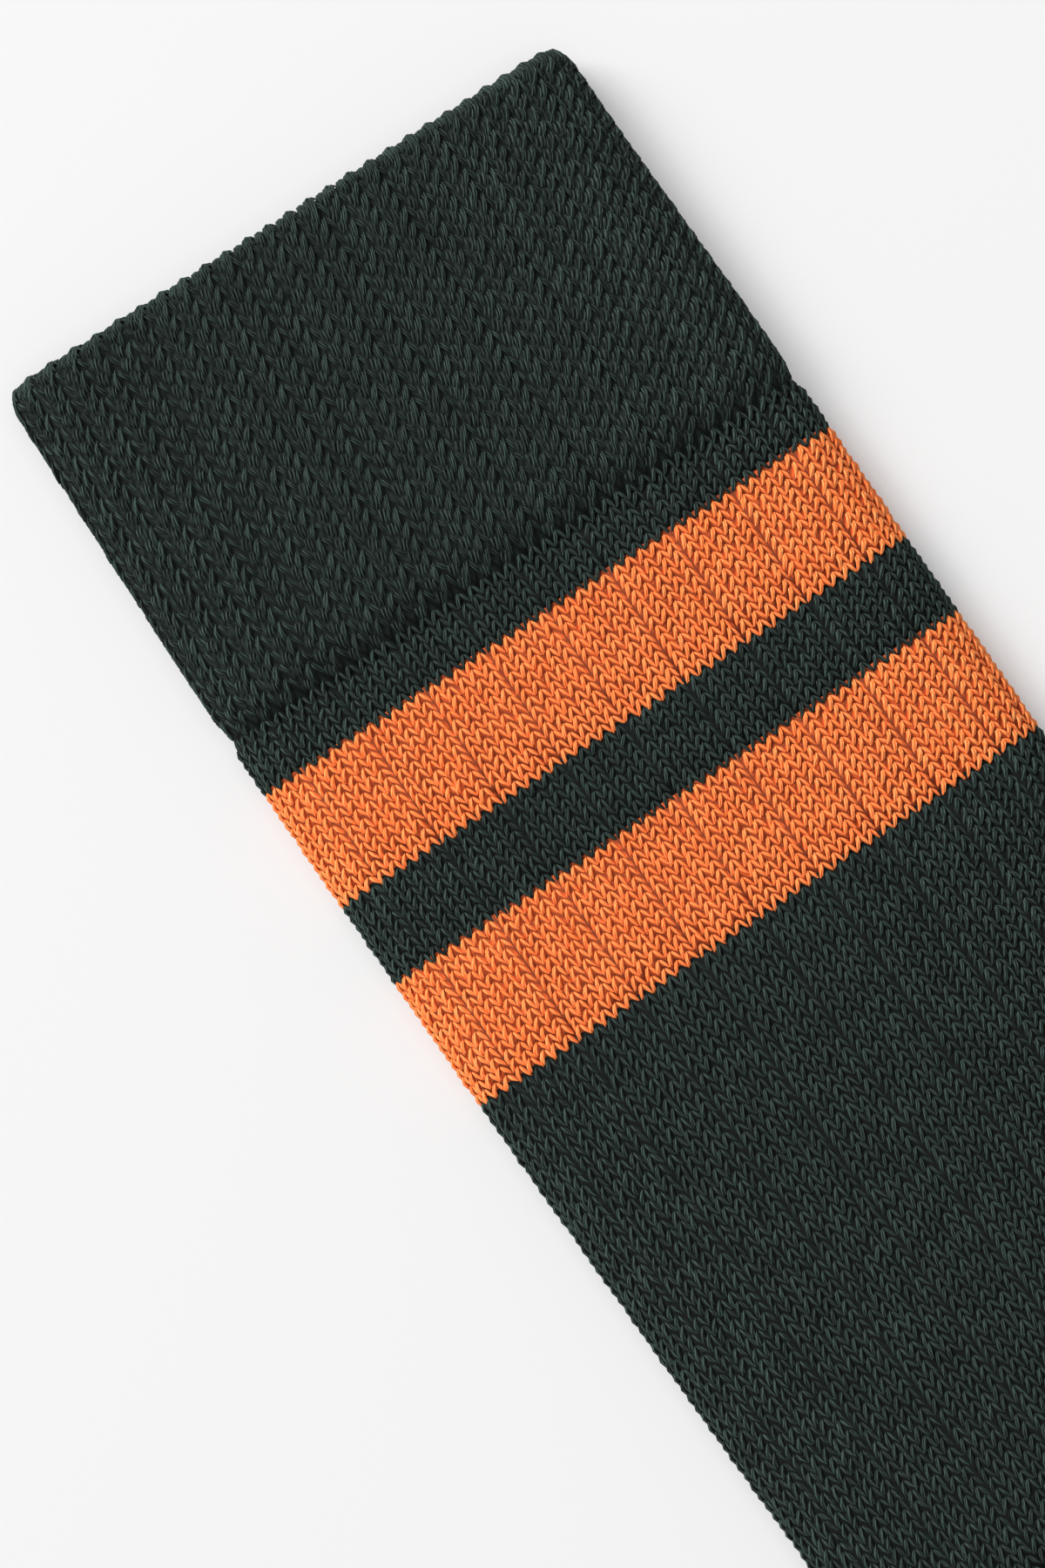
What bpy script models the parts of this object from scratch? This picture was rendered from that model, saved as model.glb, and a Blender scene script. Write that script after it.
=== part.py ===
"""A knitted crew sock lying flat on its side: cuff, striped leg, heel pocket, foot and toe.

The sock is one flattened tube, hollow from the mouth to the toe, and each piece is a stretch of it
between two changes in the knitting. The leg lies along +Y with the cuff at its far end, the foot
turns towards +X, and the underside lies on z = 0.

A place on the tube is a share and a run. The share is -1 on the back edge, which becomes the heel
and the sole, 0 down the middle and +1 on the front edge, which becomes the instep. The run is the
distance along that line of stitches past the mitre of the ankle, so it is negative in the leg.
"""
import math

import bmesh
import bpy
import numpy as np

# Flat widths, from edge to edge
CUFF_WIDTH = 0.0866
LEG_WIDTH = 0.0886
TOE_WIDTH = 0.0840

# Heights of the flat tube over the floor, and the swell of its upper face
CUFF_HEIGHT = 0.0104
LEG_HEIGHT = 0.0090
CROWN = 0.0004

# Knitted walls: the cuff is a doubled welt
CUFF_WALL = 0.0024
LEG_WALL = 0.0014

# Lengths down the leg, from the mouth to the ankle
CUFF_LENGTH = 0.0545
TOP_BAND_LENGTH = 0.0067
UPPER_STRIPE_LENGTH = 0.0175
MIDDLE_BAND_LENGTH = 0.0120
LOWER_STRIPE_LENGTH = 0.0188
SHANK_LENGTH = 0.0905

# Lengths along the foot, from the ankle to the tip
FOOT_LENGTH = 0.1620
TOE_LENGTH = 0.0440

# Bends: the leg's long curve, the slope of the rows near the cuff, which sink towards the front
# edge, and the ankle with its rounded corners
LEG_CURVE = math.radians(2.4)
ROW_SLOPE = math.tan(math.radians(1.4))
ROW_SLOPE_START = 0.0500
ROW_SLOPE_LENGTH = 0.0700
ANKLE_BEND = math.radians(65.0)
INSTEP_RADIUS = 0.0280
HEEL_RADIUS = 0.0280
GORE_RADIUS = 0.0030
SHARPEST_TURN = 0.7

# The heel swells a little past the leg's back edge, and the sole draws in at the arch
HEEL_SWELL = 0.0018
HEEL_SWELL_LENGTH = 0.0500
ARCH_DEPTH = 0.0022

# Rounded edges of the flat tube, of the cuff's two corners and of the toe
UPPER_EDGE_ROUND = 0.0070
LOWER_EDGE_ROUND = 0.0050
CUFF_CORNER = 0.0032
CUFF_STEP_LENGTH = 0.0050
TOE_SQUARENESS = 2.3

# Sunken purl lines of the broad rib on the leg and the instep; the middle one is the middle line
RIBS_ON_FACE = 9
RIB_PITCH = 0.0096
RIB_DEPTH = 0.0005
RIB_HALF_WIDTH = 0.0009
LEG_RIBS_FROM = -1.0
FOOT_RIBS_FROM = -0.02

# Where the rings of each stretch lie, as shares of its length; they crowd round the bends
CUFF_STATIONS = (0, 0.3, 0.6, 0.9, 1)
SHANK_STATIONS = (0, 0.32, 0.63, 0.78, 0.9, 1)
FOOT_STATIONS = (0, 0.28, 0.56, 0.75, 0.84, 0.92, 1)
HEEL_STATIONS = (0, 0.2, 0.36, 0.46, 0.54, 0.64, 0.8, 1)
TOE_STATIONS = (0, 0.3, 0.55, 0.75, 0.88, 0.96, 0.992)

# Points across the flat underside, as shares of its half width, and steps round each lower edge
UNDERSIDE_SHARES = (1, 0.72, 0.36, 0.15, 0)
LOWER_EDGE_STEPS = 4
FACE_SAMPLES = 401

# Gap between two pieces, and how near the middle line the heel pocket starts, as a share
JOIN_GAP = 0.0003
HEEL_START_SHARE = 0.03

LEG_LENGTH = (CUFF_LENGTH + TOP_BAND_LENGTH + UPPER_STRIPE_LENGTH + MIDDLE_BAND_LENGTH
              + LOWER_STRIPE_LENGTH + SHANK_LENGTH)
HALF = LEG_WIDTH / 2
MITRE = math.tan(ANKLE_BEND / 2)
FOOT_AXIS = np.array([math.sin(ANKLE_BEND), -math.cos(ANKLE_BEND)])
FOOT_SIDE = np.array([math.cos(ANKLE_BEND), math.sin(ANKLE_BEND)])

GREEN = (0.020, 0.029, 0.025)
ORANGE = (0.80, 0.175, 0.045)
ROUGHNESS = 0.9


def ease(value):
    """Smooth step from 0 to 1."""
    value = np.clip(value, 0, 1)
    return value * value * (3 - 2 * value)


def turn_radius(share):
    """Radius of the ankle's turn: soft on the instep, tight at the heel's gore, round at its tip."""
    front = INSTEP_RADIUS * (1 - (1 - np.clip(share, 0, 1)) ** 3)
    tip = np.clip(-share, 0, 1)
    rounded = GORE_RADIUS + (HEEL_RADIUS - GORE_RADIUS) * tip ** 4
    back = np.minimum(rounded, SHARPEST_TURN * tip * HALF)
    return np.where(share > 0, front, back)


def plan(share, run):
    """Place on the floor plan for a share of the half width and a run past the ankle's mitre."""
    radius = turn_radius(share)
    arc = radius * ANKLE_BEND / 2
    turn = np.clip((run + arc) / np.maximum(2 * arc, 1e-9), 0, 1) * ANKLE_BEND
    before = np.maximum(-arc - run, 0)
    after = np.maximum(run - arc, 0)
    swell = np.minimum(share, 0) ** 2 * (1 - ease(np.abs(run) / HEEL_SWELL_LENGTH))
    side = share * HALF - HEEL_SWELL * swell
    x = side + radius * (1 - np.cos(turn)) + after * FOOT_AXIS[0]
    y = (side + radius) * MITRE - radius * np.sin(turn) + before + after * FOOT_AXIS[1]
    x, y = np.where(run > 0, shape_foot(x, y), shape_cuff(x, y))
    return curve_leg(x, y)


def shape_foot(x, y):
    """The foot narrows towards the toe past the instep's turn, and its sole draws in at the arch."""
    along = x * FOOT_AXIS[0] + y * FOOT_AXIS[1]
    across = x * FOOT_SIDE[0] + y * FOOT_SIDE[1]
    straight = (HALF + INSTEP_RADIUS) * MITRE
    slimming = (1 - TOE_WIDTH / LEG_WIDTH) * ease((along - straight) / (FOOT_LENGTH - straight))
    arch = ARCH_DEPTH / HALF * np.sin(math.pi * np.clip(along / FOOT_LENGTH, 0, 1)) ** 2
    across = across * (1 - slimming - np.where(across < 0, arch, 0))
    return (along * FOOT_AXIS[0] + across * FOOT_SIDE[0],
            along * FOOT_AXIS[1] + across * FOOT_SIDE[1])


def shape_cuff(x, y):
    """The cuff draws in a little towards the mouth."""
    cuff_start = LEG_LENGTH - CUFF_LENGTH
    return x * (1 - (1 - CUFF_WIDTH / LEG_WIDTH) * ease((y - cuff_start) / CUFF_LENGTH)), y


def curve_leg(x, y):
    """The leg's long curve, with the front edge on its inside, and the slope of its upper rows."""
    y = y - ROW_SLOPE * x * ease((y - ROW_SLOPE_START) / ROW_SLOPE_LENGTH)
    radius = LEG_LENGTH / LEG_CURVE
    angle = np.maximum(y, 0) / radius
    return (radius - (radius - x) * np.cos(angle),
            (radius - x) * np.sin(angle) + np.minimum(y, 0))


def rise(share, upper, inset, height):
    """Height over the floor: flat faces with rounded edges, and a slight crown on the upper one."""
    margin = (1 - np.abs(share)) * (HALF - inset)
    rounding = np.where(upper, UPPER_EDGE_ROUND, LOWER_EDGE_ROUND) - inset
    bulge = np.sqrt(1 - (1 - np.clip(margin / rounding, 0, 1)) ** 2)
    reach = height / 2 - inset
    top = (reach - CROWN) * bulge + CROWN * (1 - share ** 2)
    return height / 2 + np.where(upper, top, -reach * bulge)


def skin(ring, line, inset, height):
    """Points of one ring, moved in from the sock's outer face by the inset.

    The line is a function that gives the run where the ring crosses each share.
    """
    share = ring["share"] * (1 - inset / HALF)
    x, y = plan(share, line(share))
    return np.stack([x, y, rise(ring["share"], ring["upper"], inset, height)], axis=-1)


def even_shares(fractions):
    """Shares at these fractions of the way over the upper face, and the length of that way."""
    share = np.sin(np.linspace(-math.pi / 2, math.pi / 2, FACE_SAMPLES))
    height = rise(share, True, 0, LEG_HEIGHT)
    steps = np.hypot(np.diff(share) * HALF, np.diff(height))
    travelled = np.concatenate([[0], np.cumsum(steps)])
    return np.interp(fractions, travelled / travelled[-1], share), travelled[-1]


def ring_points(ribs_from=None):
    """Ring from the back edge over the upper face to the front edge, and back underneath.

    The ribs are sunk from the given share to the front edge.
    """
    face = even_shares([0])[1]
    pitch = RIB_PITCH / face
    flank = RIB_HALF_WIDTH / face
    middles = 0.5 + (np.arange(RIBS_ON_FACE) - RIBS_ON_FACE // 2) * pitch
    edge = middles[0] * np.array([0, 0.25, 0.6])
    fractions = np.sort(np.concatenate([edge, 1 - edge, middles - flank, middles,
                                        middles + flank, middles[1:] - pitch / 2]))
    over = even_shares(fractions)[0]
    sunken = np.isin(fractions, middles)
    if ribs_from is None:
        sunken[:] = False
    else:
        sunken &= over >= ribs_from

    bevel = np.arange(LOWER_EDGE_STEPS) / LOWER_EDGE_STEPS * math.pi / 2
    bevel_shares = 1 - LOWER_EDGE_ROUND / HALF * (1 - np.cos(bevel))
    flat_shares = (1 - LOWER_EDGE_ROUND / HALF) * np.array(UNDERSIDE_SHARES)
    half_under = np.concatenate([bevel_shares, flat_shares])[1:]
    under = np.concatenate([half_under, -half_under[-2::-1]])
    return {
        "share": np.concatenate([over, under]),
        "upper": np.concatenate([np.ones(len(over), bool), np.zeros(len(under), bool)]),
        "notch": np.concatenate([RIB_DEPTH * sunken, np.zeros(len(under))]),
    }


def leg_run(share, height_up):
    """Run of a place in the leg that lies this far above the ankle's corner."""
    radius = turn_radius(share)
    return (share * HALF + radius) * MITRE - height_up - radius * ANKLE_BEND / 2


def foot_run(share, along):
    """Run of a place in the foot that lies this far along it from the ankle's corner."""
    radius = turn_radius(share)
    return along - (share * HALF + radius) * MITRE + radius * ANKLE_BEND / 2


def shell(name, outer, inner, colour, around=True, lip=(), tip=None):
    """Closed solid between an outer and an inner skin, each a list of rings from start to end.

    A lip is the rings that round the start edge off, from the inner skin to the outer one, and a
    tip is the outer and the inner point where a closed end comes together.
    """
    count = len(outer[0])
    rings = list(lip) + list(outer) + list(reversed(inner))
    mesh_builder = bmesh.new()
    rows = [[mesh_builder.verts.new(point) for point in ring] for ring in rings]
    pairs = [(index, (index + 1) % len(rows)) for index in range(len(rows))]
    turn_back = len(lip) + len(outer) - 1
    if tip is not None:
        pairs.remove((turn_back, turn_back + 1))
        for row, point in ((rows[turn_back], tip[0]), (rows[turn_back + 1], tip[1])):
            peak = mesh_builder.verts.new(point)
            for index in range(count):
                mesh_builder.faces.new((row[index], row[(index + 1) % count], peak))
    steps = count if around else count - 1
    for first, second in pairs:
        for index in range(steps):
            following = (index + 1) % count
            mesh_builder.faces.new((rows[first][index], rows[first][following],
                                    rows[second][following], rows[second][index]))
    if not around:
        for index in (0, count - 1):
            close_side(mesh_builder, [row[index] for row in rows[:len(outer)]],
                       [row[index] for row in reversed(rows[len(outer):])])
    bmesh.ops.recalc_face_normals(mesh_builder, faces=mesh_builder.faces)
    mesh = bpy.data.meshes.new(name)
    mesh_builder.to_mesh(mesh)
    mesh_builder.free()
    mesh.shade_smooth()
    mesh.set_sharp_from_angle(angle=math.radians(40))
    mesh.materials.append(yarn(name, colour))
    piece = bpy.data.objects.new(name, mesh)
    bpy.context.scene.collection.objects.link(piece)
    return piece


def close_side(mesh_builder, outer_side, inner_side):
    """Close the cut side of a shell that doesn't run right round."""
    for index in range(len(outer_side) - 1):
        mesh_builder.faces.new((outer_side[index], outer_side[index + 1],
                                inner_side[index + 1], inner_side[index]))


def yarn(name, colour):
    """Matt yarn in one colour."""
    material = bpy.data.materials.new(name + "_yarn")
    material.use_nodes = True
    shader = material.node_tree.nodes["Principled BSDF"]
    shader.inputs["Base Color"].default_value = (*colour, 1)
    shader.inputs["Roughness"].default_value = ROUGHNESS
    shader.inputs["Metallic"].default_value = 0
    return material


def leg_line(height_up):
    """Straight line of stitches across the leg, this far above the ankle's corner."""
    return lambda share: leg_run(share, height_up)


def skins(ring, lines):
    """Outer and inner skin of a stretch of the leg or foot, a ring for each line."""
    outer = [skin(ring, line, ring["notch"], LEG_HEIGHT) for line in lines]
    inner = [skin(ring, line, LEG_WALL, LEG_HEIGHT) for line in lines]
    return outer, inner


def make_cuff():
    """Doubled welt with a rolled mouth and two rounded corners, stepped down to the leg."""
    ring = ring_points()
    roll = CUFF_WALL / 2

    def ring_at(depth, inset):
        def line(share):
            corner = np.clip((np.abs(share) * HALF - HALF + CUFF_CORNER) / CUFF_CORNER, 0, 1)
            drop = CUFF_CORNER * (1 - np.sqrt(1 - corner ** 2)) * (1 - ease(depth / CUFF_LENGTH))
            return leg_run(share, LEG_LENGTH - depth - drop)

        step = ease((depth - CUFF_LENGTH + CUFF_STEP_LENGTH) / CUFF_STEP_LENGTH)
        height = CUFF_HEIGHT - (CUFF_HEIGHT - LEG_HEIGHT) / 2 * step
        return skin(ring, line, inset, height)

    depths = roll + (CUFF_LENGTH - JOIN_GAP / 2 - roll) * np.array(CUFF_STATIONS)
    outer = [ring_at(depth, 0) for depth in depths]
    inner = [ring_at(depth, CUFF_WALL) for depth in depths]
    lip = [ring_at(roll * (1 - math.sin(angle)), roll * (1 - math.cos(angle)))
           for angle in np.radians([135, 90, 45])]
    return shell("cuff", outer, inner, GREEN, lip=lip)


def make_bands():
    """Straight stretches of the leg, from the cuff down to the shank."""
    ring = ring_points(LEG_RIBS_FROM)
    bands = (
        ("leg_top_band", TOP_BAND_LENGTH, GREEN),
        ("stripe_upper", UPPER_STRIPE_LENGTH, ORANGE),
        ("band_between", MIDDLE_BAND_LENGTH, GREEN),
        ("stripe_lower", LOWER_STRIPE_LENGTH, ORANGE),
    )
    top = LEG_LENGTH - CUFF_LENGTH
    for name, length, colour in bands:
        lines = (leg_line(top - JOIN_GAP / 2), leg_line(top - length + JOIN_GAP / 2))
        shell(name, *skins(ring, lines), colour)
        top -= length


def shortened_lines(far, square, mitre, stations):
    """Lines from a square far end to one whose front half stops short at the ankle's mitre."""
    def line_at(station):
        def line(share):
            end = np.where(share > 0, mitre, square(share))
            return (far(share) + (square(share) - far(share)) * station
                    + (end - square(share)) * station ** 2)
        return line
    return [line_at(station) for station in stations]


def make_shank():
    """Lower leg: its back half ends square at the heel, its front half at the instep's mitre."""
    lines = shortened_lines(leg_line(SHANK_LENGTH - JOIN_GAP / 2), leg_line(JOIN_GAP / 2),
                            -JOIN_GAP / 2, SHANK_STATIONS)
    return shell("leg", *skins(ring_points(LEG_RIBS_FROM), lines), GREEN)


def make_foot():
    """Foot: its sole half starts square at the heel, its top half at the instep's mitre."""
    lines = shortened_lines(lambda share: foot_run(share, FOOT_LENGTH - JOIN_GAP / 2),
                            lambda share: foot_run(share, JOIN_GAP / 2),
                            JOIN_GAP / 2, FOOT_STATIONS)
    return shell("foot", *skins(ring_points(FOOT_RIBS_FROM), lines), GREEN)


def heel_line(station):
    """Line across the heel pocket, turned from the leg's end towards the foot's start."""
    def line(share):
        start = leg_run(share, -JOIN_GAP / 2)
        return start + (foot_run(share, -JOIN_GAP / 2) - start) * station
    return line


def make_heel():
    """Pocket over the back half of the ankle, folded along its gore."""
    ring = ring_points()
    places = np.arange(len(ring["share"]))
    back = ring["share"] < -HEEL_START_SHARE
    over = places[back & ring["upper"]][::-1]
    under = places[back & ~ring["upper"]][::-1]
    order = np.concatenate([over, under])
    half_ring = {
        "share": np.concatenate([[-HEEL_START_SHARE], ring["share"][order], [-HEEL_START_SHARE]]),
        "upper": np.concatenate([[True], ring["upper"][order], [False]]),
        "notch": np.zeros(len(order) + 2),
    }
    lines = [heel_line(station) for station in HEEL_STATIONS]
    return shell("heel", *skins(half_ring, lines), GREEN, around=False)


def toe_ring(ring, advance, inset):
    """Ring of the rounded toe at a share of its length, moved in by the inset."""
    power = TOE_SQUARENESS
    narrowing = (1 - advance ** power) ** (1 / power)
    nearness = (advance ** power + (np.abs(ring["share"]) * narrowing) ** power) ** (1 / power)
    across = ring["share"] * narrowing * (TOE_WIDTH / 2 - inset)
    along = FOOT_LENGTH + JOIN_GAP / 2 + advance * (TOE_LENGTH - JOIN_GAP / 2 - inset)
    x = along * FOOT_AXIS[0] + across * FOOT_SIDE[0]
    y = along * FOOT_AXIS[1] + across * FOOT_SIDE[1]
    z = rise(np.minimum(nearness, 1), ring["upper"], inset, LEG_HEIGHT)
    return np.stack([x, y, z], axis=-1)


def make_toe():
    """Rounded toe, closed at its tip."""
    ring = ring_points()
    outer = [toe_ring(ring, advance, 0) for advance in TOE_STATIONS]
    inner = [toe_ring(ring, advance, LEG_WALL) for advance in TOE_STATIONS]
    middle = {"share": np.array([0.0]), "upper": np.array([True])}
    tip = (toe_ring(middle, 1, 0)[0], toe_ring(middle, 1, LEG_WALL)[0])
    return shell("toe", outer, inner, GREEN, tip=tip)


def stand_on_origin():
    """Move every piece so that the origin is the middle of the sock's footprint."""
    pieces = [piece for piece in bpy.context.scene.objects if piece.type == "MESH"]
    corners = np.array([vertex.co for piece in pieces for vertex in piece.data.vertices])
    low = corners.min(axis=0)
    high = corners.max(axis=0)
    for piece in pieces:
        for vertex in piece.data.vertices:
            vertex.co.x -= (low[0] + high[0]) / 2
            vertex.co.y -= (low[1] + high[1]) / 2
            vertex.co.z -= low[2]


def main():
    for old in list(bpy.data.objects):
        bpy.data.objects.remove(old, do_unlink=True)
    make_cuff()
    make_bands()
    make_shank()
    make_heel()
    make_foot()
    make_toe()
    stand_on_origin()


main()
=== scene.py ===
"""Looks of the knitted crew sock: yarn, walls, mouth, studio and camera.

Every visible stitch is a piece of modelled yarn that lies on a smooth knitted wall. A place on the
sock is a distance round its skin from the back edge, a row of stitches, and an inset under its outer
face. The surface is the one that the solids have.
"""
import math

import bpy
import numpy as np
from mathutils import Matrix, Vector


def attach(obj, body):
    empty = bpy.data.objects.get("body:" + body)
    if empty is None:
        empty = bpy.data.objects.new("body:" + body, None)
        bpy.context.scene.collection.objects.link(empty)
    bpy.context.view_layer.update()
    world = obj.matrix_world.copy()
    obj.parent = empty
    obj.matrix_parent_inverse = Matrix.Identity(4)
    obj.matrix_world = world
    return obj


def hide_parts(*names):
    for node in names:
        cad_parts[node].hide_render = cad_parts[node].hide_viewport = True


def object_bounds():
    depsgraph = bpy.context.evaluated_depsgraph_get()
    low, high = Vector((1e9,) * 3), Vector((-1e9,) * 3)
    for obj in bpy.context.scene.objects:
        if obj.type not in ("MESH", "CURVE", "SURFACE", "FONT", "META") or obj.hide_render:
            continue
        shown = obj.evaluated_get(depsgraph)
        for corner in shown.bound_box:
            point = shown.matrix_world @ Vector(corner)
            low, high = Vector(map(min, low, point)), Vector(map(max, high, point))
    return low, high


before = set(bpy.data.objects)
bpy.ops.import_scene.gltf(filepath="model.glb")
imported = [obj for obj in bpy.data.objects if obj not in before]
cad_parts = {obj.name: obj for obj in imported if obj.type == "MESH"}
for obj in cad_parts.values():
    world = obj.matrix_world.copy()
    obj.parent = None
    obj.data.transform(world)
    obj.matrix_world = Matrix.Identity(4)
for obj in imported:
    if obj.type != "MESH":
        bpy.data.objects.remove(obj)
cad_low, cad_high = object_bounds()

MM = 0.001

# Sizes of the flat sock, as the solids have them
CUFF_WIDTH = 0.0866
LEG_WIDTH = 0.0886
TOE_WIDTH = 0.0840
CUFF_HEIGHT = 0.0104
LEG_HEIGHT = 0.0090
CROWN = 0.0004
CUFF_WALL = 0.0024
LEG_WALL = 0.0014
CUFF_LENGTH = 0.0545
TOP_BAND_LENGTH = 0.0067
UPPER_STRIPE_LENGTH = 0.0175
MIDDLE_BAND_LENGTH = 0.0120
LOWER_STRIPE_LENGTH = 0.0188
SHANK_LENGTH = 0.0905
FOOT_LENGTH = 0.1620
TOE_LENGTH = 0.0440
LEG_CURVE = math.radians(2.4)
ROW_SLOPE = math.tan(math.radians(1.4))
ROW_SLOPE_START = 0.0500
ROW_SLOPE_LENGTH = 0.0700
ANKLE_BEND = math.radians(65.0)
INSTEP_RADIUS = 0.0280
HEEL_RADIUS = 0.0280
GORE_RADIUS = 0.0030
SHARPEST_TURN = 0.7
HEEL_SWELL = 0.0018
HEEL_SWELL_LENGTH = 0.0500
HEEL_START_SHARE = 0.03
ARCH_DEPTH = 0.0022
UPPER_EDGE_ROUND = 0.0070
LOWER_EDGE_ROUND = 0.0050
CUFF_CORNER = 0.0032
CUFF_STEP_LENGTH = 0.0050
TOE_SQUARENESS = 2.3
JOIN_GAP = 0.0003

LEG_LENGTH = (CUFF_LENGTH + TOP_BAND_LENGTH + UPPER_STRIPE_LENGTH + MIDDLE_BAND_LENGTH
              + LOWER_STRIPE_LENGTH + SHANK_LENGTH)
HALF = LEG_WIDTH / 2
MITRE = math.tan(ANKLE_BEND / 2)
FOOT_AXIS = (math.sin(ANKLE_BEND), -math.cos(ANKLE_BEND))
FOOT_SIDE = (math.cos(ANKLE_BEND), math.sin(ANKLE_BEND))

# Samples of the skin: round half the girth for its length, and all over the sock for its middle
GIRTH_POINTS = 801
ROUND_SAMPLES = 241
TUBE_SAMPLES = 201
HEEL_SAMPLES = 41
TOE_SAMPLES = 101
HEEL_DEPTH = 0.0400

# Broad rib: five wales of plain stitches and a sunken line between two of them
RIBS_ON_FACE = 9
RIB_PITCH = 0.0096
WALES_PER_RIB = 5
RIB_GROOVE = 0.00018
RIB_SINK = 0.00022
RIB_SINK_WIDTH = 0.00055
WALE = (RIB_PITCH - RIB_GROOVE) / WALES_PER_RIB

# Courses: their heights, where a band's first one lies, and the wales that go on round each edge
STRIPE_COURSE = 0.00134
LEG_COURSE = 0.00155
CUFF_COURSE = 0.00215
FIRST_ROW = 0.95
SIDE_WALES = 4
FEW_SIDE_WALES = 2

# Cuff: its bold wales, spread a little wider at the back edge, its sunken end and its rolled mouth
CUFF_WALES_ON_FACE = 28
CUFF_SIDE_WALES = 2
CUFF_WALE_DRIFT = 0.12
CUFF_END_LENGTH = 0.0050
CUFF_END_SINK = 0.00050
LIP_RADIUS = 0.00118
LIP_TURNS = np.radians([150, 120, 90, 60, 30])
MOUTH_ROW = 0.1

# How deep the wall lies under the tops of the stitches
LEG_BED = 0.00055
CUFF_BED = 0.00060

# Walls: points round each ring, rows of stitches from one ring to the next, and rings at the toe
RING_POINTS = 108
ROWS_PER_RING = 4
FEWEST_RINGS = 4
CUFF_RINGS = 12
HEEL_RINGS = 33
HEEL_SIDE_POINTS = 40
TOE_RING_SHARES = (0.004, 0.1, 0.2, 0.3, 0.4, 0.5, 0.6, 0.68, 0.76, 0.83, 0.89, 0.94, 0.97, 0.985,
                   0.9955, 0.9999)

# Flat cuts of the walls: the shortest side, and the toe's share of the tube that it is rounded from
SHORTEST_CUT = 0.0100
TOE_AREA_SHARE = 0.86

# Plain stitch: where the left leg's plies lie, and the half widths of its legs, in wales
PLY_PLACES = {1: (0.0,), 2: (-0.00014, 0.00014)}
PLY_SLANT = 0.4
LEFT_LEG = 0.20
RIGHT_LEG = 0.155
# Share of painted light on the right leg's top, less than the left leg's, so that the right leg shows
# dimmer: painted shade
RIGHT_LEG_TOP_LIGHT = 0.25
STRAND_FULLNESS = 0.42

# Small differences between stitches: spreads, how much looser each knitting is, and the seeds
TURN_SPREAD = 0.045
SIZE_SPREAD = 0.045
SLIP_SPREAD = 0.000045
LIFT_SPREAD = 0.000030
LEG_LOOSE = 1.4
CUFF_LOOSE = 1.6
SEEDS = {"bold": 11, "sunken": 12, "mouth": 13, "small_mouth": 14, "cuff_end": 15, "bands": 20,
         "leg": 30, "foot": 31, "heel_leg": 41, "heel_foot": 42, "toe": 51}
SECOND_HALF_SEED = 100

# Heel pocket: rows on each side of its gore, and how clear of the gore they stay, in courses
HEEL_ROWS = 40
GORE_CLEARANCE = 0.3

# A heavier set of stitches than this is made as two pieces
MOST_TRIANGLES = 190000

# Yarn: width and winding of a ply, length and thinness of its fibres, and shares in its tone
PLY_WIDTH = 0.00027
PLY_TWIST = 0.0026
FIBRE_SCALE = (900, 8000, 1.5)
STRAND_SHIFT = 0.0037
THREAD_SHIFT = 3
FIBRE_SHARE = 0.55
# Share of the ply wave in the yarn's tone: painted shade in the grooves between the plies and painted
# light on their crests
PLY_SHADE_SHARE = 0.42
SHADE_SHARE = 0.14
# Painted light on each strand's top and painted shade on its sides, by how high round the strand a
# point lies
PAINTED_TOP_LIGHT = 0.150
DARK_TONE = 0.25
YARN_TONE = 0.55
FIBRE_TONE = 0.92
BUMP_STRENGTH = 0.8
YARN_RELIEF = 0.00010
WALL_RELIEF = 0.0004

# Half width of the line of painted shade between two ribs on the wall, in ribs. The cuff's wall has
# none.
RIB_SHADE_LINE = 0.014
NO_RIB_SHADE_LINE = -1.0

# Colours, linear
GREEN_DARK = (0.0045, 0.0066, 0.0060)
GREEN_YARN = (0.0082, 0.0146, 0.0125)
GREEN_FIBRE = (0.054, 0.087, 0.077)
CUFF_YARN = (0.0080, 0.0142, 0.0121)
# The leg's wall: the knit's own colour, darkened with painted shade for the depths between the
# stitches
GREEN_WALL_WITH_SHADE = (0.0060, 0.0090, 0.0080)
CUFF_WALL_GREEN = (0.0150, 0.0230, 0.0200)
# Painted shade in the troughs and rib lines of the green walls
GREEN_GROOVE_SHADE = (0.0035, 0.0050, 0.0046)
ORANGE_DARK = (0.96, 0.165, 0.038)
ORANGE_YARN = (1.0, 0.215, 0.046)
ORANGE_FIBRE = (1.0, 0.40, 0.135)
# The stripes' wall: the orange knit's own colour, darkened with painted shade for the depths between
# the stitches
ORANGE_WALL_WITH_SHADE = (0.76, 0.122, 0.028)
# Painted shade in the troughs and rib lines of the stripes' walls
ORANGE_GROOVE_SHADE = (0.200, 0.040, 0.014)
FLOOR_GREY = (0.50, 0.50, 0.50)

# Camera: frame height on the sock, lens, turn, and the middle of the picture from the ankle's corner
FRAME_HEIGHT = 0.2029
LENS = 100.0
SENSOR = 36.0
CAMERA_TURN = math.radians(-36.2)
PICTURE_MIDDLE = (-0.01395, 0.12205)

# Studio: the key light's place is to the camera's right, up in its picture, and above the floor
FLOOR_HALF = 3.0
FLOOR_DROP = 0.0001
FLOOR_GLOW = 0.275
WORLD_LIGHT = 0.275
KEY_RIGHT = -2.3
KEY_UP = 1.1
KEY_HEIGHT = 2.0
KEY_POWER = 128.0
KEY_SIZE = 1.9
TOP_HEIGHT = 3.2
TOP_POWER = 30.0
TOP_SIZE = 2.4


# Surface

def ease(value):
    """Smooth step from 0 to 1."""
    value = np.clip(value, 0, 1)
    return value * value * (3 - 2 * value)


def turn_radius(share):
    """Radius of the ankle's turn: soft on the instep, tight at the heel's gore, round at its tip."""
    front = INSTEP_RADIUS * (1 - (1 - np.clip(share, 0, 1)) ** 3)
    tip = np.clip(-share, 0, 1)
    rounded = GORE_RADIUS + (HEEL_RADIUS - GORE_RADIUS) * tip ** 4
    back = np.minimum(rounded, SHARPEST_TURN * tip * HALF)
    return np.where(share > 0, front, back)


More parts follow.
